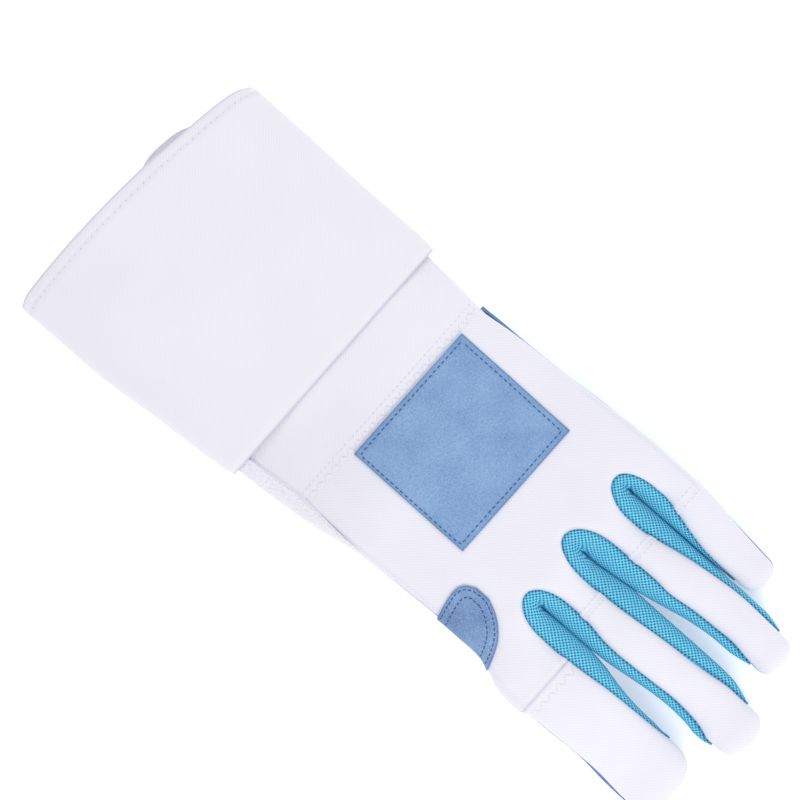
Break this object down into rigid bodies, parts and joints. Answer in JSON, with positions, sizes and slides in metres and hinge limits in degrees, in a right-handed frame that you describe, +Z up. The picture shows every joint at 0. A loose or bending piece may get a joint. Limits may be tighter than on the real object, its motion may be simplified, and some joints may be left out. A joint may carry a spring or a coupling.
{
  "type": "fencing glove",
  "caption": "Left-hand fencing glove with a long flared cuff, padded white back, blue suede patches and palm, and mesh finger gussets, lying palm down.",
  "frame": {"origin": "middle of the base of the glove as it lies palm down", "axes": "+Y from the cuff to the fingertips, +X to the thumb side, +Z up from the palm to the back of the hand"},
  "size_m": [0.1286, 0.337, 0.0435],
  "materials": {
    "white_cloth": "matte twill-woven cotton cloth, padded",
    "cuff_cloth": "matte woven cotton cloth, doubled, topstitched hem",
    "loop_tape": "fuzzy loop tape",
    "cyan_mesh": "knitted spacer mesh with small dimples",
    "blue_suede": "matte synthetic suede, topstitched"
  },
  "bodies": {
    "root": {"cuff": "cuff_cloth", "wrist_band": "white_cloth", "closure_strip": "loop_tape", "hand_back": "white_cloth", "finger_back_little": "white_cloth", "finger_back_ring": "white_cloth", "finger_back_middle": "white_cloth", "finger_back_index": "white_cloth", "fourchette_little_ring": "cyan_mesh", "fourchette_ring_middle": "cyan_mesh", "fourchette_middle_index": "cyan_mesh", "palm": "blue_suede", "thumb_back": "white_cloth", "thumb_front": "blue_suede", "back_patch": "blue_suede", "thumb_patch": "blue_suede"}
  },
  "joints": []
}
